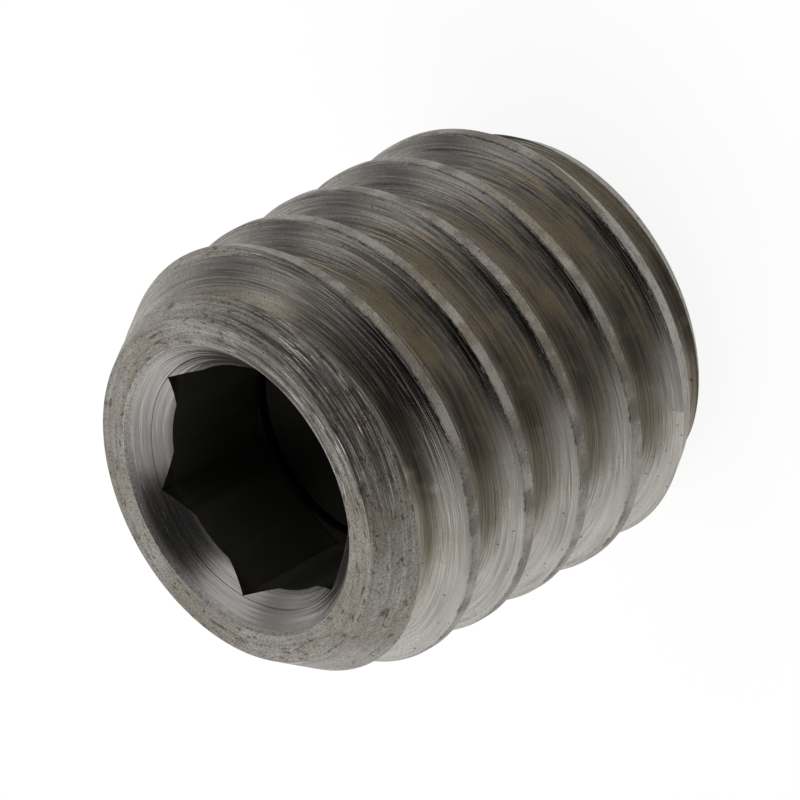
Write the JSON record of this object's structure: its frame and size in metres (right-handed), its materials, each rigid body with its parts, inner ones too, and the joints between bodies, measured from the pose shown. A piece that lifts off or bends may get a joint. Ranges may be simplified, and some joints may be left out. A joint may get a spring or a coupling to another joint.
{
  "type": "orifice restrictor screw",
  "caption": "Short headless threaded screw with a hexagon socket in one end and a small metering hole along its axis, which throttles flow through the tapped passage it is screwed into.",
  "frame": {"origin": "centre of the flat face at the point end, which the screw stands on", "axes": "+Z along the screw's axis, out of the hexagon socket; +X and +Y across it, with a corner of the hexagon 14.5 degrees from +X"},
  "size_m": [0.0058, 0.0058, 0.006],
  "materials": {
    "screw_steel": "satin"
  },
  "bodies": {
    "root": {"restrictor_screw": "screw_steel"}
  },
  "joints": []
}
